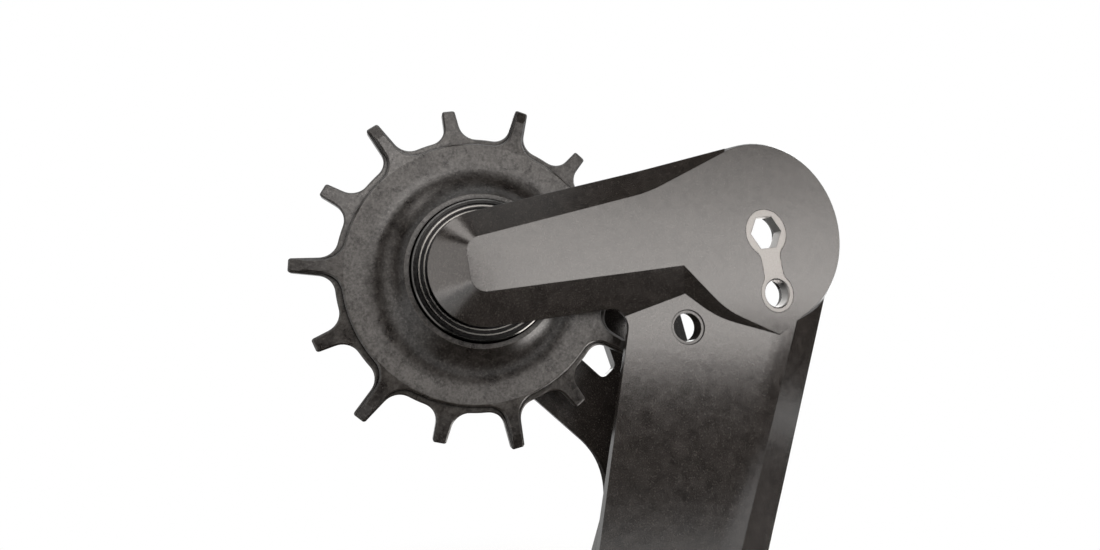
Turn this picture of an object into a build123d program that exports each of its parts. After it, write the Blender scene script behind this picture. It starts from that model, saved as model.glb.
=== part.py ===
from build123d import *
import os
from math import acos, asin, atan2, cos, degrees, hypot, radians, sin, sqrt

# Rear derailleur cage: two bevelled plates of moulded short-fibre carbon that carry two
# narrow-wide guide pulleys on sealed ball bearings.
# Millimetres. The origin is the pivot, at the centre of the hex drive on the seat face.
# +Y runs from the outer plate to the inner one, +Z is up, and the blade hangs down.

# Depths along +Y, counted from the seat face of the outer plate
outer_plate_depth = 4.8
plate_gap = 10.4
inner_plate_depth = 4.0
mid_depth = outer_plate_depth + plate_gap / 2
inner_start = outer_plate_depth + plate_gap
inner_face = inner_start + inner_plate_depth

# Pulley axes, as (x, z)
upper_axis = (-52.9, -8.4)
lower_axis = (-30.5, -95.0)

# Outer plate: plan of the arm and the pivot disc, and the flat face above it
disc_radius = 17.6
disc_face_radius = disc_radius - 0.3
nose_radius = 9.8
arm_lower_corner = (-26.4, -14.2)
arm_lower_fillet = 3.2
face_nose_top = (-57.2, -4.35)
face_nose_low = (-55.7, -12.95)
face_upper_turn = (-24.5, 6.0)
face_lower_reach = disc_radius + 1.6
face_lower_heading = 201.4
face_tip_reach = disc_radius + 1.8
face_tip_heading = -84.4
face_nose_fillet = 2.6
face_upper_fillet = 30.0
arm_side_slope = 61.0
disc_side_slope = 40.0

# Blade: a flat ridge near its rear edge, a slope in front of it and a bevel behind
blade_lean = 19.6
ridge_distance = 11.2
ridge_width = 2.6
blade_rear_distance = 18.7
blade_rear_drop = 2.2
blade_front_reach = 33.0
blade_front_drop = 4.3
blade_ridge_fillet = 22.0
blade_turn_z = -72.0
blade_turn_fillet = 30.0
lower_pad_radius = 5.6

# Drive insert, flush in the disc
hex_across_flats = 6.0
insert_big_radius = 4.5
insert_small_radius = 3.6
insert_neck_width = 4.3
insert_neck_fillet = 2.4
hex_turn = 8.0
insert_depth = 2.0
insert_ledge = 0.8
insert_clearance = 0.03
back_recess_depth = 1.8
back_recess_margin = 2.0
pin_hole_place = (1.9, -11.6)
pin_hole_radius = 2.6
insert_chamfer = 0.25

# Lock hole through the blade, with a shallow land round it, sunk square to the slope
lock_hole_place = (-15.9, -18.0)
lock_hole_radius = 2.6
lock_land_radius = 3.2
lock_land_depth = 0.25

# Inner plate: plan, and the window between its two arms and its spine
pad_radius = 10.2
pad_face_radius = 7.3
inner_web = 1.7
arm_top_corner = (-13.4, -3.4)
inner_right_turn = (-5.6, -31.0)
inner_left_turn = (-24.6, -46.0)
inner_corner_fillet = 5.0
inner_turn_fillet = 14.0
window_points = [(-41.7, -15.9), (-40.4, -11.0), (-29.6, -12.3), (-24.9, -25.6), (-27.6, -28.0)]
window_fillet = 1.4

# Inner plate: the pad's flat face and its step, and the ridges of the three members
step_start = (-46.2, -19.5)
step_turn = (-42.9, -14.4)
step_tip = (-41.0, -6.2)
pad_face_points = [(-42.7, -2.5), (-51.7, -1.2), (-57.5, -14.2)]
pad_side_slope = 54.0
edge_drop = 1.9
diagonal_ridge = (2.6, 5.4)
diagonal_width = 12.2
diagonal_drop = 2.3
arm_ridge = (3.1, 6.4)
arm_width = 12.6
spine_front_drop = 1.2
spine_flat = 5.0
spine_width = 24.0
spine_drop = 2.2
leg_flat = 4.0
leg_half = 14.0

# Pulley wheels: narrow and wide teeth by turns
chain_pitch = 12.7
roller_radius = 3.965
roller_play = 0.13
upper_teeth = 14
lower_teeth = 16
upper_phase = 77.0
lower_phase = 90.0
tip_above_pitch_wide = 2.9
tip_above_pitch_narrow = 1.3
tip_half_width = 1.15
tip_fillet = 0.45
flank_slope = 0.07
tooth_seat = 2.0
valley_fillet = 3.1
tooth_chamfer = 0.3
narrow_half = 0.95
wide_half = 1.8
wide_inset = 0.35
wide_fillet = 3.6
tip_bevel_length = 2.6
tip_bevel_drop = 0.8
rim_below_root = 1.15
rim_flat = 0.4
plate_width = 2.0
dish_below_root = 6.4
dish_height = 1.45
hub_lip_height = 4.1
hub_lip_width = 0.8
hub_half = 3.1
groove_below_root = 4.5
groove_width = 2.4
groove_floor = 0.9
groove_lip = 0.4
groove_lip_height = 1.45
dome_height = 2.8
dome_bulge = 0.25
dish_slopes = [(1, -1.1), (1, 0.1)]
rib_half = 1.05
rib_reach = 5.4
flange_half = 3.0
flange_reach = 2.4

# Bearing: 5 mm bore, 16 mm outside, 5 mm wide
bearing_bore_radius = 2.52
bearing_radius = 8.0
bearing_half = 2.5
ball_radius = 1.5
ball_circle_radius = 5.25
ball_count = 7
race_shoulder = 0.9
ball_clearance = 0.05
retainer_base = 0.3
retainer_crown = 0.4
retainer_half_width = 0.4
retainer_pocket_clearance = 0.1
seal_depth = 0.3
seal_inset = 0.2
seal_gap = 0.08
bearing_lip = 0.8
bearing_seat_clearance = 0.01

# End caps between the bearing and the plates
cap_radius = 12.3
cap_gap = 0.3
cap_spigot_radius = 4.1
cap_ring_radii = [10.5, 11.35]
cap_ring_width = 0.3
cap_ring_depth = 0.3
cap_chamfer = 0.3

# Pulley bolts, and their thread inserts in the outer plate
bolt_radius = 2.49
bolt_head_radius = 3.43
bolt_head_height = 2.0
bolt_head_chamfer = 0.25
bolt_end_gap = 0.3
counterbore_radius = 4.0
bolt_hole_radius = 2.6
socket_radius = 1.15
socket_lobe_radius = 0.42
socket_depth = 1.5
thread_insert_radius = 3.5
thread_insert_depth = 3.7
thread_bore_depth = 3.3
insert_fit = 0.02

# Modelling values: how near counts as the same place, and how far a cut runs past the metal
same_place = 0.01
cut_reach = 1.0


def level(y):
    """Sketch plane across the cage at depth y: its x is +X and its y is +Z."""
    return Plane.XZ.offset(-y)


def section_plane(place, y, heading):
    """Plane across a member that runs at a heading: x is to its left, and y is -Y from depth y."""
    along = (cos(radians(heading)), 0, sin(radians(heading)))
    return Plane((place[0], y, place[1]), x_dir=(-along[2], 0, along[0]), z_dir=along)


def hub_section(place, side):
    """Plane through a pulley's axis: x is the radius, y the height towards -Y (-1) or +Y (1)."""
    return Plane((place[0], mid_depth, place[1]), x_dir=(1, 0, 0), z_dir=(0, 0, side))


def hub_axis(place):
    return Axis((place[0], mid_depth, place[1]), (0, 1, 0))


def wheel_level(place, height):
    """Plane across a pulley at a height towards -Y above mid-depth, centred on its axis."""
    return Plane((place[0], mid_depth - height, place[1]), x_dir=(1, 0, 0), z_dir=(0, -1, 0))


def polar(centre, radius, angle):
    return (centre[0] + radius * cos(radians(angle)), centre[1] + radius * sin(radians(angle)))


def heading_of(start, end):
    return degrees(atan2(end[1] - start[1], end[0] - start[0]))


def outside_tangent(first, first_radius, second, second_radius, side):
    """Touching points of a line along two circles, on the left (1) or right (-1) of the way."""
    across, up = second[0] - first[0], second[1] - first[1]
    angle = degrees(atan2(up, across))
    angle += side * degrees(acos((first_radius - second_radius) / hypot(across, up)))
    return polar(first, first_radius, angle), polar(second, second_radius, angle)


def tangent_from(point, centre, radius, side):
    """Where a line from a point touches a circle, on the left (1) or right (-1) of its centre."""
    distance = hypot(centre[0] - point[0], centre[1] - point[1])
    heading = heading_of(point, centre) + side * degrees(asin(radius / distance))
    return polar(point, sqrt(distance**2 - radius**2), heading)


def blade_point(distance, z):
    """Point at height z on the line along the blade at a distance behind the pivot."""
    lean = radians(blade_lean)
    return ((distance + sin(lean) * z) / cos(lean), z)


def at_place(shapes, place):
    """The vertices, or upright edges, that stand at a place of the plan."""

    def stands_there(shape):
        middle = shape.center()
        return hypot(middle.X - place[0], middle.Z - place[1]) < same_place

    return shapes.filter_by(stands_there)


def corner_at(sketch, place):
    """The corners of a sketch that lie at a place of its plane."""
    return sketch.vertices().filter_by(
        lambda v: hypot(v.X - place[0], v.Y - place[1]) < same_place
    )


# Outer plate in plan: the arm with its disc, and the blade down to the lower nose
pivot = (0, 0)
top_line = outside_tangent(upper_axis, nose_radius, pivot, disc_radius, 1)
blade_turn = blade_point(blade_rear_distance, blade_turn_z)

face_lower_turn = polar(pivot, face_lower_reach, face_lower_heading)
face_blade_tip = polar(pivot, face_tip_reach, face_tip_heading)

with BuildPart() as plate_plan:
    with BuildSketch(level(0)):
        Circle(disc_radius)
        with Locations(upper_axis, lower_axis):
            Circle(nose_radius)
        Polygon(
            *top_line,
            pivot,
            arm_lower_corner,
            tangent_from(arm_lower_corner, upper_axis, nose_radius, 1),
            upper_axis,
            align=None,
        )
        Polygon(
            pivot,
            arm_lower_corner,
            tangent_from(arm_lower_corner, lower_axis, nose_radius, -1),
            lower_axis,
            tangent_from(blade_turn, lower_axis, nose_radius, 1),
            blade_turn,
            tangent_from(blade_turn, pivot, disc_radius, -1),
            align=None,
        )
    extrude(amount=-outer_plate_depth)
    fillet(at_place(plate_plan.edges().filter_by(Axis.Y), arm_lower_corner), arm_lower_fillet)
    fillet(at_place(plate_plan.edges().filter_by(Axis.Y), blade_turn), blade_turn_fillet)

# Blade as a long prism of its cross-section: ridge, front slope and rear bevel
rear_width = blade_rear_distance - ridge_distance

with BuildPart() as blade:
    with BuildSketch(section_plane(blade_point(ridge_distance, 0), 0, -90 - blade_lean)) as section:
        Polygon(
            (-ridge_width, 0),
            (0, 0),
            (rear_width * 2, -blade_rear_drop * 2),
            (rear_width * 2, -outer_plate_depth),
            (-blade_front_reach, -outer_plate_depth),
            (-blade_front_reach, -blade_front_drop),
            align=None,
        )
        fillet(corner_at(section, (-ridge_width, 0)), blade_ridge_fillet)
    extrude(amount=nose_radius * 2 - lower_axis[1])


def ahead_of_ridge(place):
    """How far a place of the plan lies in front of the blade's ridge."""
    lean = radians(blade_lean)
    return ridge_distance - place[0] * cos(lean) + place[1] * sin(lean)


# Floor of the lock hole's land: parallel to the front slope, and deeper by the land's depth
slope_rise = blade_front_drop / (blade_front_reach - ridge_width)
lock_drop = (ahead_of_ridge(lock_hole_place) - ridge_width) * slope_rise
forward = polar(pivot, slope_rise, 180 - blade_lean)
lock_land_plane = Plane(
    (lock_hole_place[0], lock_drop, lock_hole_place[1]), z_dir=(forward[0], -1, forward[1])
).offset(-lock_land_depth)


def drive_outline(grow):
    """Outline of the drive insert: two round ends and a neck, grown on every side."""
    with BuildSketch() as outline:
        Circle(insert_big_radius)
        with Locations(pin_hole_place):
            Circle(insert_small_radius)
        middle = (pin_hole_place[0] / 2, pin_hole_place[1] / 2)
        with Locations(Location((*middle, 0), (0, 0, heading_of(pivot, pin_hole_place)))):
            Rectangle(hypot(*pin_hole_place), insert_neck_width)
        fillet(outline.edges().filter_by(GeomType.LINE).vertices(), insert_neck_fillet)
        offset(amount=grow)
    return outline.sketch


insert_outline = drive_outline(0)
pocket_outline = drive_outline(insert_clearance)
ledge_outline = drive_outline(-insert_ledge)
recess_outline = drive_outline(back_recess_margin)

with BuildPart() as outer_plate:
    # The arm falls away in wide bevels, and the disc with its blade tip in a steeper one
    with BuildSketch(level(0)) as arm_face:
        Polygon(
            face_nose_top,
            face_upper_turn,
            tangent_from(face_upper_turn, pivot, disc_face_radius, 1),
            pivot,
            face_lower_turn,
            face_nose_low,
            align=None,
        )
        fillet(corner_at(arm_face, face_nose_top), face_nose_fillet)
        fillet(corner_at(arm_face, face_nose_low), face_nose_fillet)
        fillet(corner_at(arm_face, face_upper_turn), face_upper_fillet)
    extrude(amount=-outer_plate_depth, taper=-arm_side_slope)
    with BuildSketch(level(0)):
        Circle(disc_face_radius)
        for corner in (face_lower_turn, face_blade_tip):
            Polygon(
                pivot,
                tangent_from(corner, pivot, disc_face_radius, 1),
                corner,
                tangent_from(corner, pivot, disc_face_radius, -1),
                align=None,
            )
    extrude(amount=-outer_plate_depth, taper=-disc_side_slope)
    with BuildSketch(level(0)):
        with Locations(lower_axis):
            Circle(lower_pad_radius)
    extrude(amount=-outer_plate_depth, taper=-arm_side_slope)
    add(blade.part)
    add(plate_plan.part, mode=Mode.INTERSECT)
    # Pocket of the drive insert, with a ledge behind it
    with BuildSketch(level(0)):
        add(pocket_outline)
    extrude(amount=-insert_depth, mode=Mode.SUBTRACT)
    with BuildSketch(level(0)):
        add(ledge_outline)
    extrude(amount=-outer_plate_depth, mode=Mode.SUBTRACT)
    # Recess in the back of the disc, so that the ledge is thin
    with BuildSketch(level(outer_plate_depth - back_recess_depth)):
        add(recess_outline)
    extrude(amount=-back_recess_depth, mode=Mode.SUBTRACT)
    # Lock hole and the land round its mouth
    with BuildSketch(lock_land_plane):
        Circle(lock_land_radius)
    extrude(amount=outer_plate_depth, mode=Mode.SUBTRACT)
    with BuildSketch(level(0)):
        with Locations(lock_hole_place):
            Circle(lock_hole_radius)
    extrude(amount=-outer_plate_depth, mode=Mode.SUBTRACT)
    # Blind seats of the thread inserts
    with BuildSketch(level(outer_plate_depth)):
        with Locations(upper_axis, lower_axis):
            Circle(thread_insert_radius + insert_fit)
    extrude(amount=thread_insert_depth, mode=Mode.SUBTRACT)

# Drive insert: a metal plate, flush in the disc, with the hex and the spring pin's hole
with BuildPart() as drive_insert:
    with BuildSketch(level(0)):
        add(insert_outline)
        RegularPolygon(
            hex_across_flats / 2, 6, major_radius=False, rotation=hex_turn, mode=Mode.SUBTRACT
        )
        with Locations(pin_hole_place):
            Circle(pin_hole_radius, mode=Mode.SUBTRACT)
    extrude(amount=-insert_depth)
    rims = drive_insert.edges().filter_by(GeomType.CIRCLE).group_by(Axis.Y)[0]
    chamfer(rims.filter_by(lambda e: abs(e.radius - pin_hole_radius) < same_place), insert_chamfer)

# Inner plate in plan: pad, two arms round a window, spine and leg to the lower nose
arm_start = tangent_from(arm_top_corner, upper_axis, pad_radius, -1)
diagonal_start = tangent_from(inner_left_turn, upper_axis, pad_radius, 1)

with BuildPart() as inner_plan:
    with BuildSketch(level(inner_face)):
        with Locations(upper_axis):
            Circle(pad_radius)
        with Locations(lower_axis):
            Circle(nose_radius)
        Polygon(
            upper_axis,
            arm_start,
            arm_top_corner,
            inner_right_turn,
            tangent_from(inner_right_turn, lower_axis, nose_radius, 1),
            lower_axis,
            tangent_from(inner_left_turn, lower_axis, nose_radius, -1),
            inner_left_turn,
            diagonal_start,
            align=None,
        )
    extrude(amount=inner_plate_depth)
    upright = inner_plan.edges().filter_by(Axis.Y)
    fillet(at_place(upright, arm_top_corner), inner_corner_fillet)
    upright = inner_plan.edges().filter_by(Axis.Y)
    fillet(at_place(upright, inner_right_turn) + at_place(upright, inner_left_turn), inner_turn_fillet)
    with BuildSketch(level(inner_face)) as window:
        Polygon(*window_points, align=None)
        fillet(window.vertices(), window_fillet)
    extrude(amount=inner_plate_depth, mode=Mode.SUBTRACT)


def closed(profile):
    """A profile of (x to the left, drop) points, closed along the back of the inner plate."""
    return [*profile, (profile[-1][0], inner_plate_depth), (profile[0][0], inner_plate_depth)]


def member(place, heading, length, profile):
    """A straight member of the inner plate, with one profile all along."""
    with BuildPart() as straight:
        with BuildSketch(section_plane(place, inner_face, heading)):
            Polygon(*closed(profile), align=None)
        extrude(amount=length)
    return straight.part


# Rim ridge, swept along the plate's left edge from the pad to the lower nose
edge_slope = diagonal_ridge[0] / edge_drop
rim_profile = [
    ((edge_drop - inner_plate_depth) * edge_slope, inner_plate_depth),
    (diagonal_ridge[0], 0),
    (diagonal_ridge[1], 0),
    (diagonal_width, diagonal_drop),
    (diagonal_width, inner_plate_depth),
]
rim_end = tangent_from(inner_left_turn, lower_axis, nose_radius, -1)

with BuildPart() as rim_part:
    with BuildLine(level(inner_face)) as rim_path:
        FilletPolyline(diagonal_start, inner_left_turn, rim_end, radius=inner_turn_fillet)
    rim_heading = heading_of(diagonal_start, inner_left_turn)
    with BuildSketch(section_plane(diagonal_start, inner_face, rim_heading)):
        Polygon(*rim_profile, align=None)
    sweep(path=rim_path.line)

# Upper arm: its ridge lowers along the way until it is level with the spine
arm_heading = heading_of(arm_start, arm_top_corner)
arm_near = [(0, edge_drop), (-arm_ridge[0], 0), (-arm_ridge[1], 0), (-arm_width, spine_front_drop)]
arm_far = [(x, max(drop, spine_front_drop)) for x, drop in arm_near]

with BuildPart() as arm_part:
    with BuildSketch(section_plane(arm_start, inner_face, arm_heading)):
        Polygon(*closed(arm_near), align=None)
    with BuildSketch(section_plane(arm_top_corner, inner_face, arm_heading)):
        Polygon(*closed(arm_far), align=None)
    loft()

spine_part = member(
    window_points[2],
    heading_of(window_points[2], window_points[3]),
    window_points[2][1] - inner_left_turn[1],
    [(0, spine_front_drop), (spine_flat, spine_front_drop), (spine_width, spine_drop)],
)
leg_start = ((inner_left_turn[0] + inner_right_turn[0]) / 2, inner_right_turn[1])
leg_part = member(
    leg_start,
    heading_of(leg_start, lower_axis),
    leg_start[1] - lower_axis[1] + nose_radius * 2,
    [
        (-leg_half, spine_drop),
        (-leg_flat, spine_front_drop),
        (leg_flat, spine_front_drop),
        (leg_half, spine_drop),
    ],
)

with BuildPart() as inner_plate:
    with BuildSketch(level(inner_face)) as pad_face:
        with Locations(upper_axis):
            Circle(pad_face_radius)
        Polygon(step_start, step_turn, step_tip, *pad_face_points, align=None)
    extrude(amount=inner_plate_depth, taper=-pad_side_slope)
    with BuildSketch(level(inner_face)):
        with Locations(lower_axis):
            Circle(pad_face_radius)
    extrude(amount=inner_plate_depth, taper=-pad_side_slope)
    add([rim_part.part, arm_part.part, spine_part, leg_part])
    extrude(inner_plan.faces().sort_by(Axis.Y)[0], amount=-inner_web)
    add(inner_plan.part, mode=Mode.INTERSECT)
    with BuildSketch(level(inner_face)):
        with Locations(upper_axis, lower_axis):
            Circle(counterbore_radius)
    extrude(amount=bolt_head_height, mode=Mode.SUBTRACT)
    with BuildSketch(level(inner_face)):
        with Locations(upper_axis, lower_axis):
            Circle(bolt_hole_radius)
    extrude(amount=inner_plate_depth, mode=Mode.SUBTRACT)


def toothed_blank(core, teeth, inset, corner_fillet):
    """A disc with teeth: each entry of teeth is (count, phase, tip radius), drawn in by an inset."""
    with BuildSketch() as blank:
        Circle(core)
        for count, phase, tip in teeth:
            foot = core - tooth_seat
            tip_half = tip_half_width - inset
            foot_half = tip_half + (tip - foot) * flank_slope
            with PolarLocations(0, count, start_angle=phase):
                Polygon(
                    (foot, -foot_half),
                    (tip - inset, -tip_half),
                    (tip - inset, tip_half),
                    (foot, foot_half),
                    align=None,
                )
        corners = blank.edges().filter_by(GeomType.LINE).vertices()
        fillet([v for v in corners if hypot(v.X, v.Y) < core + cut_reach], corner_fillet)
        corners = blank.edges().filter_by(GeomType.LINE).vertices()
        longest = max(tip for count, phase, tip in teeth)
        shortest = min(tip for count, phase, tip in teeth)
        fillet(
            [v for v in corners if shortest - cut_reach < hypot(v.X, v.Y) < longest + cut_reach],
            tip_fillet,
        )
    return blank.sketch


def toothed_plate(place, low, high, blank, inside, bevelled):
    """A toothed plate between two heights, with its edges chamfered on the bevelled sides."""
    with BuildPart() as plate:
        with BuildSketch(wheel_level(place, low)):
            add(blank)
            Circle(inside, mode=Mode.SUBTRACT)
        extrude(amount=high - low)
        for face in bevelled:
            rims = plate.faces().filter_by(Plane.XZ).sort_by(Axis.Y)[face].outer_wire().edges()
            chamfer(rims, tooth_chamfer)
    return plate.part


def wheel(place, teeth, phase):
    """A narrow-wide pulley wheel, bored for its bearing."""
    pitch_radius = chain_pitch / (2 * sin(radians(180 / teeth)))
    root = pitch_radius - roller_radius - roller_play
    tip_wide = pitch_radius + tip_above_pitch_wide
    tip_narrow = pitch_radius + tip_above_pitch_narrow
    wide_teeth = (teeth // 2, phase, tip_wide)
    narrow_teeth = (teeth // 2, phase + 360 / teeth, tip_narrow)
    rim = root - rim_below_root
    flat = rim - rim_flat
    dish = root - dish_below_root
    groove = root - groove_below_root
    recess = cap_radius + cap_gap
    lip = recess + hub_lip_width
    tip_fall = tip_bevel_drop * (1 + cut_reach / tip_bevel_length)
    all_teeth = toothed_blank(root, [wide_teeth, narrow_teeth], 0, valley_fillet)
    wide_tops = toothed_blank(rim, [wide_teeth], wide_inset, wide_fillet)
    plain_plate = toothed_plate(
        place, -narrow_half, narrow_half, all_teeth, flat - plate_width, (0, -1)
    )
    wide_plate = toothed_plate(place, narrow_half, wide_half, wide_tops, flat, (0,))

    with BuildPart() as wheel_part:
        # Body: dished outer face, grooved and domed inner face
        with BuildSketch(hub_section(place, -1)):
            with BuildLine():
                Polyline(
                    (bearing_radius + bearing_seat_clearance, -hub_half),
                    (bearing_radius + bearing_seat_clearance, bearing_half),
                    (bearing_radius - bearing_lip, bearing_half),
                    (bearing_radius - bearing_lip, hub_half),
                    (recess, hub_half),
                    (recess, hub_lip_height),
                    (lip, hub_lip_height),
                )
                Spline(
                    (lip, hub_lip_height),
                    (dish, dish_height),
                    (flat, wide_half),
                    tangents=dish_slopes,
                )
                Polyline(
                    (flat, wide_half),
                    (flat, -narrow_half),
                    (groove + groove_lip, -narrow_half),
                    (groove + groove_lip, -groove_lip_height),
                    (groove, -groove_lip_height),
                    (groove, -groove_floor),
                    (groove - groove_width, -groove_floor),
                    (groove - groove_width, -dome_height),
                )
                dome_top = (dome_height + hub_lip_height) / 2 + dome_bulge
                ThreePointArc(
                    (groove - groove_width, -dome_height),
                    ((groove - groove_width + lip) / 2, -dome_top),
                    (lip, -hub_lip_height),
                )
                Polyline(
                    (lip, -hub_lip_height),
                    (recess, -hub_lip_height),
                    (recess, -hub_half),
                    (bearing_radius + bearing_seat_clearance, -hub_half),
                )
            make_face()
        revolve(axis=hub_axis(place))
        add([plain_plate, wide_plate])
        # Wide teeth are ribbed on the inner side, with a full tip
        with BuildSketch(wheel_level(place, -wide_half)):
            add(wide_tops)
            Circle(root + rib_reach, mode=Mode.SUBTRACT)
            with PolarLocations(0, teeth // 2, start_angle=phase):
                Polygon(
                    (groove, -rib_half),
                    (root + rib_reach + wide_inset, -rib_half),
                    (root + rib_reach + wide_inset, rib_half),
                    (groove, rib_half),
                    align=None,
                )
            for side in (-1, 1):
                with PolarLocations(0, teeth // 2, start_angle=phase):
                    Polygon(
                        (groove, side * flange_half),
                        (groove, side * (flange_half - rib_half)),
                        (groove + flange_reach, side * (flange_half - rib_half)),
                        align=None,
                    )
        extrude(amount=wide_half - narrow_half)
        # Tips bevelled on both sides
        for side in (-1, 1):
            with BuildSketch(hub_section(place, side)):
                Polygon(
                    (tip_wide - tip_bevel_length, wide_half),
                    (tip_wide + cut_reach, wide_half + cut_reach),
                    (tip_wide + cut_reach, wide_half - tip_fall),
                    align=None,
                )
            revolve(axis=hub_axis(place), mode=Mode.SUBTRACT)
    return wheel_part.part


def ring(place, side, inside, outside, low, high):
    """A plain ring round a pulley's axis, between two heights on one side of mid-depth."""
    with BuildPart() as ring_part:
        with BuildSketch(hub_section(place, side)):
            Polygon((inside, low), (outside, low), (outside, high), (inside, high), align=None)
        revolve(axis=hub_axis(place))
    return ring_part.part


def race(place, inside, outside):
    """A bearing race with the balls' groove."""
    with BuildPart() as race_part:
        with BuildSketch(hub_section(place, -1)):
            Polygon(
                (inside, -bearing_half),
                (outside, -bearing_half),
                (outside, bearing_half),
                (inside, bearing_half),
                align=None,
            )
            with Locations((ball_circle_radius, 0)):
                Circle(ball_radius + ball_clearance, mode=Mode.SUBTRACT)
        revolve(axis=hub_axis(place))
    return race_part.part


def balls(place, radius):
    """The balls of a bearing, as one group of solids."""
    with BuildPart() as ball_group:
        with Locations(wheel_level(place, 0)):
            with PolarLocations(ball_circle_radius, ball_count):
                Sphere(radius)
    return ball_group.part


def retainer(place):
    """Crown retainer: a ring on one side of the balls, with a pocket for each."""
    low = ball_radius + retainer_pocket_clearance + retainer_base
    pockets = balls(place, ball_radius + retainer_pocket_clearance)
    with BuildPart() as crown:
        with BuildSketch(hub_section(place, -1)):
            inside = ball_circle_radius - retainer_half_width
            outside = ball_circle_radius + retainer_half_width
            Polygon(
                (inside, -low),
                (outside, -low),
                (outside, retainer_crown),
                (inside, retainer_crown),
                align=None,
            )
        revolve(axis=hub_axis(place))
        add(pockets, mode=Mode.SUBTRACT)
    return crown.part


def end_cap(place, side):
    """Turned cap that spaces the bearing from a plate, with fine rings on its rim."""
    flange_start = hub_half + cap_gap
    top = plate_gap / 2
    with BuildPart() as cap:
        with BuildSketch(hub_section(place, side)):
            Polygon(
                (bolt_hole_radius, bearing_half),
                (cap_spigot_radius, bearing_half),
                (cap_spigot_radius, flange_start),
                (cap_radius, flange_start),
                (cap_radius, top - cap_chamfer),
                (cap_radius - cap_chamfer, top),
                (bolt_hole_radius, top),
                align=None,
            )
            with Locations(*[(radius, top) for radius in cap_ring_radii]):
                Rectangle(cap_ring_width, cap_ring_depth * 2, mode=Mode.SUBTRACT)
        revolve(axis=hub_axis(place))
    return cap.part


def bolt(place):
    """Pulley bolt: flat round head with a six-lobe socket, flush in the inner plate."""
    end = outer_plate_depth - thread_bore_depth + bolt_end_gap
    with BuildPart() as bolt_part:
        with BuildSketch(level(inner_face)):
            with Locations(place):
                Circle(bolt_head_radius)
        extrude(amount=bolt_head_height)
        chamfer(bolt_part.edges().filter_by(GeomType.CIRCLE).sort_by(Axis.Y)[-1], bolt_head_chamfer)
        with BuildSketch(level(inner_face)):
            with Locations(place):
                Circle(bolt_radius)
        extrude(amount=inner_face - end)
        with BuildSketch(level(inner_face)):
            with Locations(place):
                Circle(socket_radius)
                with PolarLocations(socket_radius, 6):
                    Circle(socket_lobe_radius)
        extrude(amount=socket_depth, mode=Mode.SUBTRACT)
    return bolt_part.part


def thread_insert(place):
    """Blind metal insert in the outer plate that takes the pulley bolt."""
    with BuildPart() as insert_part:
        with BuildSketch(level(outer_plate_depth)):
            with Locations(place):
                Circle(thread_insert_radius)
        extrude(amount=thread_insert_depth)
        with BuildSketch(level(outer_plate_depth)):
            with Locations(place):
                Circle(bearing_bore_radius)
        extrude(amount=thread_bore_depth, mode=Mode.SUBTRACT)
    return insert_part.part


inner_shoulder = ball_circle_radius - race_shoulder
outer_shoulder = ball_circle_radius + race_shoulder
seal_top = bearing_half - seal_inset
pieces = {
    "outer_plate": outer_plate.part,
    "drive_insert": drive_insert.part,
    "inner_plate": inner_plate.part,
}
pulleys = [
    ("upper", upper_axis, upper_teeth, upper_phase),
    ("lower", lower_axis, lower_teeth, lower_phase),
]
for name, place, teeth, phase in pulleys:
    pieces[name + "_pulley"] = wheel(place, teeth, phase)
    pieces[name + "_inner_race"] = race(place, bearing_bore_radius, inner_shoulder)
    pieces[name + "_outer_race"] = race(place, outer_shoulder, bearing_radius)
    pieces[name + "_balls"] = balls(place, ball_radius)
    pieces[name + "_retainer"] = retainer(place)
    for side_name, side in (("outer", -1), ("inner", 1)):
        pieces[name + "_seal_" + side_name] = ring(
            place,
            side,
            inner_shoulder + seal_gap,
            outer_shoulder - insert_fit,
            seal_top - seal_depth,
            seal_top,
        )
        pieces[name + "_cap_" + side_name] = end_cap(place, side)
    pieces[name + "_bolt"] = bolt(place)
    pieces[name + "_thread_insert"] = thread_insert(place)

os.makedirs("parts", exist_ok=True)
for name, piece in pieces.items():
    piece.label = name
    export_step(piece, "parts/" + name + ".step")
    print(name, "solids", len(piece.solids()), "volume", round(piece.volume, 2))
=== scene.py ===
import bpy
from math import cos, radians, sin
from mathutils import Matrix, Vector

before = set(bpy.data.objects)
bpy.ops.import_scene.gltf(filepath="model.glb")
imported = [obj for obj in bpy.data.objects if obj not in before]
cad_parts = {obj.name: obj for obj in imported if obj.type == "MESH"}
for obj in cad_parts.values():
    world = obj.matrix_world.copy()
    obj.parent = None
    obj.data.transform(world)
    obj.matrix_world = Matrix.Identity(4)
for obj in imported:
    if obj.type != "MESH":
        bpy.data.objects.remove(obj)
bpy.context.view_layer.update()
print("frame loaded:", len(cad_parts), "nodes")

mm = 0.001


def toLinear(hexText):
    # sRGB hex to the linear colour that the shaders use
    channels = [int(hexText[i:i + 2], 16) / 255 for i in (1, 3, 5)]
    linear = [c / 12.92 if c <= 0.04045 else ((c + 0.055) / 1.055) ** 2.4 for c in channels]
    return (*linear, 1)


def addNode(tree, kind, settings=None, links=None):
    # a key is a socket's name or number, or else one of the node's own settings
    node = tree.nodes.new("ShaderNode" + kind)
    for key, value in (settings or {}).items():
        if isinstance(key, int) or key in node.inputs:
            node.inputs[key].default_value = value
        else:
            setattr(node, key, value)
    for key, socket in (links or {}).items():
        tree.links.new(socket, node.inputs[key])
    return node


def newMaterial(name, looks):
    # a fresh material with its shader, and the object's own coordinates in metres
    material = bpy.data.materials.new(name)
    material.use_nodes = True
    tree = material.node_tree
    shader = tree.nodes["Principled BSDF"]
    for socket in ("Metallic", "IOR"):
        if socket in looks:
            shader.inputs[socket].default_value = looks[socket]
    place = addNode(tree, "TexCoord").outputs["Object"]
    return material, tree, shader, place


# A noise seldom leaves the middle of its range, so the tones and the roughness use this band of it
band = {"darkTo": 0.34, "lightFrom": 0.66, "smoothTo": 0.3, "roughFrom": 0.7}


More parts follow.
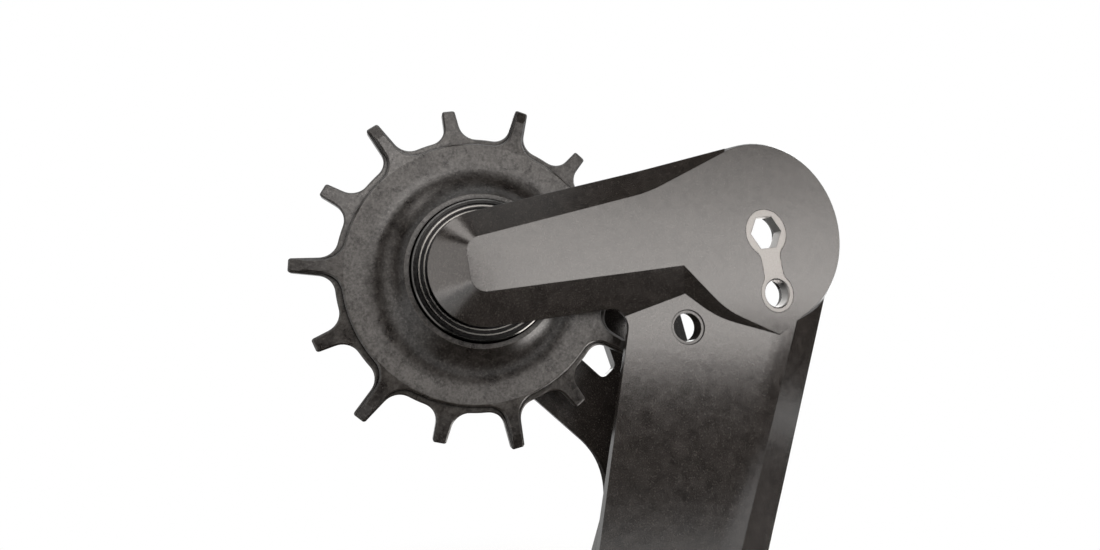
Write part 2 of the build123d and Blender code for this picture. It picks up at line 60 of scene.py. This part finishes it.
def tonesAndRoughness(tree, shader, pattern, looks):
    # the pattern moves the roughness between two values, and the returned colour between two tones
    rough = addNode(tree, "MapRange", {"From Min": band["smoothTo"], "From Max": band["roughFrom"],
                                       "To Min": looks["roughLow"], "To Max": looks["roughHigh"]},
                    {"Value": pattern}).outputs["Result"]
    tree.links.new(rough, shader.inputs["Roughness"])
    ramp = addNode(tree, "ValToRGB", links={"Fac": pattern})
    dark, light = ramp.color_ramp.elements
    dark.position = band["darkTo"]
    dark.color = toLinear(looks["dark"])
    light.position = band["lightFrom"]
    light.color = toLinear(looks["light"])
    return ramp.outputs["Color"]


def layOver(tree, under, over, value, start=0, end=1):
    # a second colour, a hex text, laid over the first: none up to the start, all of it from the end on
    amount = addNode(tree, "MapRange", {"From Min": start, "From Max": end,
                                        "interpolation_type": "SMOOTHSTEP"},
                     {"Value": value}).outputs["Result"]
    return addNode(tree, "Mix", {"data_type": "RGBA", 7: toLinear(over)}, {0: amount, 6: under}).outputs[2]


def radiusFrom(tree, place, axle):
    # distance from a wheel's axle, which lies along Y at this x and z
    centred = addNode(tree, "Mapping", {"Scale": (1, 0, 1), "Location": (-axle[0], 0, -axle[1])},
                      {"Vector": place}).outputs["Vector"]
    return addNode(tree, "VectorMath", {"operation": "LENGTH"}, {0: centred}).outputs["Value"]


def paintedRimSheen(tree, place, grain, looks):
    # a painted sheen: 0 on a wheel's dish and teeth, and 1 on the rim between them, in patches where the
    # grain is high
    radius = radiusFrom(tree, place, looks["axle"])
    limits = ((radius, looks["dishTo"], looks["rimFrom"]),
              (radius, looks["teethFrom"], looks["rimTo"]),
              (grain, looks["rimSheenFrom"], looks["rimSheenTo"]))
    outsideDish, insideTeeth, patches = (
        addNode(tree, "MapRange", {"From Min": start, "From Max": end, "interpolation_type": "SMOOTHSTEP"},
                {"Value": value}).outputs["Result"]
        for value, start, end in limits)
    rim = addNode(tree, "Math", {"operation": "MULTIPLY"}, {0: outsideDish, 1: insideTeeth}).outputs[0]
    return addNode(tree, "Math", {"operation": "MULTIPLY"}, {0: rim, 1: patches}).outputs[0]


# Short-fibre carbon composite, pressed in a polished mould.
# Resin skin over chopped fibres: very dark, a soft gloss, with a cloudy mottle and fine light flecks.
# The plates' edges are painted near the resin's darkest tone; the wheels get a painted highlight along
# their edges and a patchy painted sheen on the rim.
# Single fibres are far too fine to show, so the flecks are drawn as wide as small bundles of them.
plateLooks = {
    "IOR": 1.55, "glossLow": 0.76, "glossHigh": 1.0, "glossFrom": 0.3, "glossTo": 0.7,
    # the crease tone is painted shade for shut corners
    "dark": "#201D1B", "light": "#2F2B28", "fleck": "#413D39", "edge": "#221F1C", "creaseShade": "#0A0908",
    "cloudSize": 2.2 * mm, "fleckSize": 0.3 * mm, "fibreLength": 1.6 * mm,
    "fleckFrom": 0.5, "fleckTo": 0.76,
    "roughLow": 0.17, "roughHigh": 0.23,
    "skinHeight": 0.014 * mm, "edgeRadius": 0.16 * mm, "creaseReach": 0.7 * mm,
    "edgeFrom": 0.998, "edgeTo": 0.96,  # cosine between the flat surface and the rounded one
    "creaseFrom": 0.9, "creaseTo": 0.55,  # openness: 1 in the open, 0 in a shut corner
    "glossFullAt": 0.85, "glossGoneAt": 0.5,  # the same openness
}


def mouldedComposite(name, looks):
    material, tree, shader, place = newMaterial(name, looks)
    cloud = addNode(tree, "TexNoise", {"Scale": 1 / looks["cloudSize"], "Detail": 6, "Roughness": 0.62,
                                       "Distortion": 0.7}, {"Vector": place}).outputs["Fac"]
    fleck = addNode(tree, "TexNoise", {"Scale": 1 / looks["fleckSize"], "Detail": 3, "Roughness": 0.7},
                    {"Vector": place}).outputs["Fac"]
    fibre = addNode(tree, "TexVoronoi", {"Scale": 1 / looks["fibreLength"], "feature": "F1"},
                    {"Vector": place}).outputs["Distance"]
    both = addNode(tree, "Math", {"operation": "ADD"}, {0: fleck, 1: cloud}).outputs[0]
    grain = addNode(tree, "Math", {"operation": "MULTIPLY", 1: 0.5}, {0: both}).outputs[0]  # their mean
    colour = tonesAndRoughness(tree, shader, cloud, looks)
    colour = layOver(tree, colour, looks["fleck"], fleck, looks["fleckFrom"], looks["fleckTo"])
    # on the wheels, a patchy painted sheen on the rim between dish and teeth
    if "axle" in looks:
        colour = addNode(tree, "Mix", {"data_type": "RGBA", 7: toLinear(looks["rimSheen"])},
                         {0: paintedRimSheen(tree, place, grain, looks), 6: colour}).outputs[2]
    # along the rounded edges a painted line: a painted highlight on the wheels, and on the plates a dark
    # tone close to the resin's
    rounded = addNode(tree, "Bevel", {"Radius": looks["edgeRadius"], "samples": 4})
    flat = addNode(tree, "NewGeometry").outputs["Normal"]
    turned = addNode(tree, "VectorMath", {"operation": "DOT_PRODUCT"},
                     {0: rounded.outputs["Normal"], 1: flat}).outputs["Value"]
    colour = layOver(tree, colour, looks["edge"], turned, looks["edgeFrom"], looks["edgeTo"])
    # painted shade in the creases: shut corners are painted near black and lose their gloss
    openness = addNode(tree, "AmbientOcclusion",
                       {"Distance": looks["creaseReach"], "samples": 6}).outputs["AO"]
    colour = layOver(tree, colour, looks["creaseShade"], openness, looks["creaseFrom"], looks["creaseTo"])
    tree.links.new(colour, shader.inputs["Base Color"])
    shine = addNode(tree, "MapRange", {"From Min": looks["glossFrom"], "From Max": looks["glossTo"],
                                       "To Min": looks["glossLow"], "To Max": looks["glossHigh"]},
                    {"Value": grain}).outputs["Result"]
    outsideCreaseShade = addNode(tree, "MapRange", {"From Min": looks["glossGoneAt"], "From Max": looks["glossFullAt"],
                                       "interpolation_type": "SMOOTHSTEP"},
                    {"Value": openness}).outputs["Result"]
    gloss = addNode(tree, "Math", {"operation": "MULTIPLY"}, {0: shine, 1: outsideCreaseShade}).outputs[0]
    tree.links.new(gloss, shader.inputs["Specular IOR Level"])
    height = addNode(tree, "Math", {"operation": "ADD"}, {0: fleck, 1: fibre}).outputs[0]
    bump = addNode(tree, "Bump", {"Distance": looks["skinHeight"], "Strength": 0.5},
                   {"Height": height, "Normal": rounded.outputs["Normal"]})
    tree.links.new(bump.outputs["Normal"], shader.inputs["Normal"])
    return material


# Drive insert and other plain metals: turned or milled, then lightly blasted or left as machined.
# Where the looks give an axle, polished rings run round it, with dark anodised metal between them.
def finishedMetal(name, looks):
    material, tree, shader, place = newMaterial(name, looks)
    grain = addNode(tree, "TexNoise", {"Scale": 1 / looks["grainSize"], "Detail": 3, "Roughness": 0.6},
                    {"Vector": place}).outputs["Fac"]
    colour = tonesAndRoughness(tree, shader, grain, looks)
    if "axle" in looks:
        radius = radiusFrom(tree, place, looks["axle"])
        for ring in looks["rings"]:
            onRing = addNode(tree, "Math", {"operation": "COMPARE", 1: ring, 2: looks["ringHalf"]},
                             {0: radius}).outputs[0]
            colour = layOver(tree, colour, looks["polished"], onRing)
    tree.links.new(colour, shader.inputs["Base Color"])
    rounded = addNode(tree, "Bevel", {"Radius": looks["edgeRadius"], "samples": 4})
    bump = addNode(tree, "Bump", {"Distance": looks["grainHeight"], "Strength": 0.4},
                   {"Height": grain, "Normal": rounded.outputs["Normal"]})
    tree.links.new(bump.outputs["Normal"], shader.inputs["Normal"])
    return material


# Rubber and nylon: soft moulded skins with a fine texture
def mouldedSoft(name, looks):
    material, tree, shader, place = newMaterial(name, looks)
    grain = addNode(tree, "TexNoise", {"Scale": 1 / looks["grainSize"], "Detail": 3},
                    {"Vector": place}).outputs["Fac"]
    tree.links.new(tonesAndRoughness(tree, shader, grain, looks), shader.inputs["Base Color"])
    bump = addNode(tree, "Bump", {"Distance": looks["grainHeight"], "Strength": 0.4}, {"Height": grain})
    tree.links.new(bump.outputs["Normal"], shader.inputs["Normal"])
    return material


# The wheels: the same composite, darker and duller, with coarser flecks.
# The four last values of each wheel are radii, measured from its axle.
# on the wheels the edge tone is a painted highlight
wheelLooks = dict(plateLooks, dark="#171412", light="#272320", fleck="#3F3B37", cloudSize=2.0 * mm,
                  fleckSize=0.42 * mm, roughLow=0.26, roughHigh=0.36, glossLow=0.28, glossHigh=0.8,
                  glossFrom=0.35, glossTo=0.65, edgeRadius=0.12 * mm, edge="#4A4642",
                  # the rim tone is a patchy painted sheen on each wheel's rim
                  creaseReach=1.1 * mm, rimSheen="#393531", rimSheenFrom=0.3, rimSheenTo=0.72)
upperWheelLooks = dict(wheelLooks, axle=(-52.9 * mm, -8.4 * mm), dishTo=17 * mm, rimFrom=22 * mm,
                       rimTo=24 * mm, teethFrom=26.5 * mm)
lowerWheelLooks = dict(wheelLooks, axle=(-30.5 * mm, -95.0 * mm), dishTo=22 * mm, rimFrom=27 * mm,
                       rimTo=29 * mm, teethFrom=31.5 * mm)

# The real grain of the metals, the rubber and the nylon is too fine to show, so it is drawn coarser

# Blasted stainless steel: mid grey, even and fine-grained
insertLooks = {"Metallic": 1.0, "dark": "#9A9896", "light": "#A6A4A2", "grainSize": 0.3 * mm,
               "grainHeight": 0.002 * mm, "roughLow": 0.4, "roughHigh": 0.48, "edgeRadius": 0.22 * mm}
# Turned and black-anodised aluminium: dark, with a silky ring sheen
capLooks = {"Metallic": 1.0, "dark": "#1A1A1A", "light": "#242424", "grainSize": 0.6 * mm,
            "grainHeight": 0.0004 * mm, "roughLow": 0.16, "roughHigh": 0.26, "edgeRadius": 0.08 * mm,
            "rings": (10.25 * mm, 11.05 * mm, 12.1 * mm), "ringHalf": 0.12 * mm, "polished": "#6A6967"}
upperCapLooks = dict(capLooks, axle=upperWheelLooks["axle"])
lowerCapLooks = dict(capLooks, axle=lowerWheelLooks["axle"])
# Machined alloy steel, tumbled: mid grey with a soft shine
boltLooks = {"Metallic": 1.0, "dark": "#6E6A66", "light": "#8E8A86", "grainSize": 0.15 * mm,
             "grainHeight": 0.003 * mm, "roughLow": 0.3, "roughHigh": 0.42, "edgeRadius": 0.08 * mm}
# Ground and polished bearing steel: bright and mirror-like
bearingLooks = {"Metallic": 1.0, "dark": "#A8A8A8", "light": "#C4C4C4", "grainSize": 0.12 * mm,
                "grainHeight": 0.001 * mm, "roughLow": 0.12, "roughHigh": 0.2, "edgeRadius": 0.05 * mm}
# Turned brass, as machined: warm, with a fine grain
brassLooks = {"Metallic": 1.0, "dark": "#A98B4E", "light": "#CDB070", "grainSize": 0.15 * mm,
              "grainHeight": 0.003 * mm, "roughLow": 0.25, "roughHigh": 0.36, "edgeRadius": 0.05 * mm}
# Nitrile rubber, moulded: near black and dull
sealLooks = {"IOR": 1.5, "dark": "#121212", "light": "#1E1E1E", "grainSize": 0.2 * mm,
             "grainHeight": 0.004 * mm, "roughLow": 0.5, "roughHigh": 0.62}
# Nylon, moulded in its natural colour: milky and smooth
retainerLooks = {"IOR": 1.53, "dark": "#C9C2AC", "light": "#D8D2BF", "grainSize": 0.4 * mm,
                 "grainHeight": 0.003 * mm, "roughLow": 0.36, "roughHigh": 0.46}

# A piece takes the finish whose key is the longest that its node's name holds
finishes = {
    "_plate": mouldedComposite("carbonCompositePlate", plateLooks),
    "upper_pulley": mouldedComposite("carbonCompositeUpperWheel", upperWheelLooks),
    "lower_pulley": mouldedComposite("carbonCompositeLowerWheel", lowerWheelLooks),
    "_insert": finishedMetal("blastedSteel", insertLooks),
    "upper_cap_": finishedMetal("anodisedUpperCap", upperCapLooks),
    "lower_cap_": finishedMetal("anodisedLowerCap", lowerCapLooks),
    "_bolt": finishedMetal("machinedSteel", boltLooks),
    "_race": finishedMetal("bearingSteel", bearingLooks),
    "_thread_insert": finishedMetal("turnedBrass", brassLooks),
    "_seal_": mouldedSoft("nitrileRubber", sealLooks),
    "_retainer": mouldedSoft("naturalNylon", retainerLooks),
}
finishes["_balls"] = finishes["_race"]  # balls and races are of the same steel
for nodeName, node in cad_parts.items():
    fits = [key for key in finishes if key in nodeName]
    node.data.materials.clear()
    node.data.materials.append(finishes[max(fits, key=len)])
print("materials:", len(bpy.data.materials))

# Studio: white all round for the camera and for reflections, a weak even fill for the rest
skyLooks = {"seen": 1.0, "fill": 0.22}


def seenByEye(tree):
    # 1 where the camera, a reflection or a see-through piece looks straight at the backdrop
    path = addNode(tree, "LightPath").outputs
    seen = addNode(tree, "Math", {"operation": "MAXIMUM"},
                   {0: path["Is Camera Ray"], 1: path["Is Glossy Ray"]}).outputs[0]
    return addNode(tree, "Math", {"operation": "MAXIMUM"},
                   {0: seen, 1: path["Is Transmission Ray"]}).outputs[0]


world = bpy.data.worlds.new("studio")
bpy.context.scene.world = world
world.use_nodes = True
sky = world.node_tree
strength = addNode(sky, "MapRange", {"To Min": skyLooks["fill"], "To Max": skyLooks["seen"]},
                   {"Value": seenByEye(sky)})
sky.nodes["Background"].inputs["Color"].default_value = (1, 1, 1, 1)
sky.links.new(strength.outputs["Result"], sky.nodes["Background"].inputs["Strength"])

# Floor: matt pale card that keeps the shadow near the object and runs out to plain white
floorLooks = {"height": -131.2 * mm, "middleX": -0.03, "size": 3.0, "tone": "#F2F1EF", "rough": 0.9,
              "shadowReach": 0.12, "whiteFrom": 0.24}


def paleCard(looks):
    card = bpy.data.materials.new("paleCard")
    card.use_nodes = True
    tree = card.node_tree
    matt = tree.nodes["Principled BSDF"]
    matt.inputs["Base Color"].default_value = toLinear(looks["tone"])
    matt.inputs["Roughness"].default_value = looks["rough"]
    place = addNode(tree, "TexCoord").outputs["Object"]
    away = addNode(tree, "VectorMath", {"operation": "LENGTH"}, {0: place}).outputs["Value"]
    outside = addNode(tree, "MapRange", {"From Min": looks["shadowReach"], "From Max": looks["whiteFrom"],
                                         "interpolation_type": "SMOOTHSTEP"},
                      {"Value": away}).outputs["Result"]
    seen = addNode(tree, "Math", {"operation": "MULTIPLY"}, {0: outside, 1: seenByEye(tree)}).outputs[0]
    white = addNode(tree, "Emission", {"Color": (1, 1, 1, 1), "Strength": 1.0})
    mixed = addNode(tree, "MixShader", links={0: seen, 1: matt.outputs[0], 2: white.outputs[0]})
    tree.links.new(mixed.outputs[0], tree.nodes["Material Output"].inputs["Surface"])
    return card


bpy.ops.mesh.primitive_plane_add(size=floorLooks["size"],
                                 location=(floorLooks["middleX"], 0, floorLooks["height"]))
floor = bpy.context.object
floor.name = "floor"
floor.data.materials.append(paleCard(floorLooks))


def softbox(name, looks):
    # an area lamp that the camera can't see, aimed at a point
    lamp = bpy.data.lights.new(name, "AREA")
    lamp.shape = "RECTANGLE"
    lamp.size, lamp.size_y = looks["size"]
    lamp.energy = looks["watts"]
    lamp.color = toLinear(looks["tint"])[:3]
    holder = bpy.data.objects.new(name, lamp)
    bpy.context.scene.collection.objects.link(holder)
    holder.location = looks["place"]
    aim = Vector(looks["aim"]) - Vector(looks["place"])
    holder.rotation_euler = aim.to_track_quat("-Z", "Y").to_euler()
    holder.visible_camera = False


# Sizes, places and aims in metres
softboxes = {
    # the arm's face and the disc reflect these three, which stand one above another
    "keyLow": {"size": (0.325, 0.041), "watts": 0.172, "tint": "#FFFAF6",
               "place": (0.1475, -0.26, 0.0095), "aim": (0.1, 0, 0.0)},
    "keyMiddle": {"size": (0.34, 0.045), "watts": 0.155, "tint": "#FFFAF6",
                  "place": (0.14, -0.26, 0.0525), "aim": (0.1, 0, 0.04)},
    "keyHigh": {"size": (0.34, 0.05), "watts": 0.105, "tint": "#FFFAF6",
                "place": (0.14, -0.26, 0.1), "aim": (0.1, 0, 0.08)},
    "wheelBox": {"size": (0.1, 0.09), "watts": 0.18, "tint": "#FFFAF6",
                 "place": (-0.08, -0.26, 0.09), "aim": (-0.08, 0, 0.08)},
    "upperBox": {"size": (0.46, 0.14), "watts": 0.12, "tint": "#FFFAF6",
                 "place": (0.06, -0.26, 0.2), "aim": (0.02, 0, 0.1)},
    "sideStrip": {"size": (0.12, 0.3), "watts": 0.18, "tint": "#FFF9F4",
                  "place": (-0.36, -0.22, 0.03), "aim": (-0.05, 0, 0)},
    "upperStrip": {"size": (0.2, 0.14), "watts": 0.26, "tint": "#FFF9F4",
                   "place": (-0.27, -0.22, 0.36), "aim": (-0.05, 0, 0)},
    "lowStrip": {"size": (0.14, 0.08), "watts": 0.05, "tint": "#FFF9F4",
                 "place": (-0.26, -0.24, -0.11), "aim": (-0.055, 0, -0.01)},
    # faces up, so that none of its light falls on the floor
    "lowRight": {"size": (0.13, 0.13), "watts": 0.4, "tint": "#FFFAF6",
                 "place": (0.1, 0.06, -0.115), "aim": (0.095, 0.06, 0.1)},
    "topBox": {"size": (0.4, 0.25), "watts": 0.11, "tint": "#FFFFFF",
               "place": (-0.05, 0.02, 0.4), "aim": (-0.03, 0.01, -0.03)},
    "rearBox": {"size": (0.4, 0.3), "watts": 1.1, "tint": "#FFFFFF",
                "place": (0.12, 0.3, 0.08), "aim": (-0.03, 0.01, -0.03)},
}
for boxName, looks in softboxes.items():
    softbox(boxName, looks)

# Black flags in front, at the sides, above and below: the bevels reflect them, so they stay dark
tent = {"half": 0.45, "near": -0.30, "far": -0.02, "low": -0.13, "high": 0.45,
        "belowLeft": -0.13, "belowRight": 0.33, "belowNear": -0.12, "belowFar": 0.3,
        "cloth": "#060606", "clothRough": 1.0}

blackCloth = bpy.data.materials.new("blackCloth")
blackCloth.use_nodes = True
cloth = blackCloth.node_tree.nodes["Principled BSDF"].inputs
cloth["Base Color"].default_value = toLinear(tent["cloth"])
cloth["Roughness"].default_value = tent["clothRough"]


def blackFlag(name, place, corners):
    # a matt black cloth that shows in reflections only, and lets all other light by
    mesh = bpy.data.meshes.new(name)
    mesh.from_pydata(corners, [], [(0, 1, 2, 3)])
    mesh.materials.append(blackCloth)
    flag = bpy.data.objects.new(name, mesh)
    bpy.context.scene.collection.objects.link(flag)
    flag.location = place
    flag.visible_camera = False
    flag.visible_shadow = False
    flag.visible_diffuse = False


half, near, far, low, high = (tent[key] for key in ("half", "near", "far", "low", "high"))
side = [(0, near, low), (0, far, low), (0, far, high), (0, near, high)]
blackFlag("flagFront", (0, near, 0),
          [(-half, 0, low), (half, 0, low), (half, 0, high), (-half, 0, high)])
blackFlag("flagLeft", (-half, 0, 0), side)
blackFlag("flagRight", (half, 0, 0), side)
blackFlag("flagTop", (0, 0, high),
          [(-half, near, 0), (half, near, 0), (half, far, 0), (-half, far, 0)])
left, right, front, back = (tent[key] for key in ("belowLeft", "belowRight", "belowNear", "belowFar"))
blackFlag("flagBelow", (0, 0, low),
          [(left, front, 0), (right, front, 0), (right, back, 0), (left, back, 0)])
print("studio: floor, sky, flags and", len(softboxes), "softboxes")

# Camera close in front of the upper wheel, a little below its axle, looking up and to the right
shot = {"place": (-67.3 * mm, -83.4 * mm, -19.9 * mm), "turn": 16.26, "rise": 6.77,
        "lens": 17.25, "sensor": 36, "clipFrom": 1 * mm}
lens = bpy.data.cameras.new("shot")
lens.sensor_width = shot["sensor"]
lens.lens = shot["lens"]
lens.clip_start = shot["clipFrom"]
camera = bpy.data.objects.new("shot", lens)
bpy.context.scene.collection.objects.link(camera)
camera.location = shot["place"]
turn, rise = radians(shot["turn"]), radians(shot["rise"])
heading = Vector((sin(turn) * cos(rise), cos(turn) * cos(rise), sin(rise)))
camera.rotation_euler = heading.to_track_quat("-Z", "Y").to_euler()
bpy.context.scene.camera = camera
bpy.context.scene.view_settings.view_transform = "Standard"
print("camera: lens of", shot["lens"], "mm")
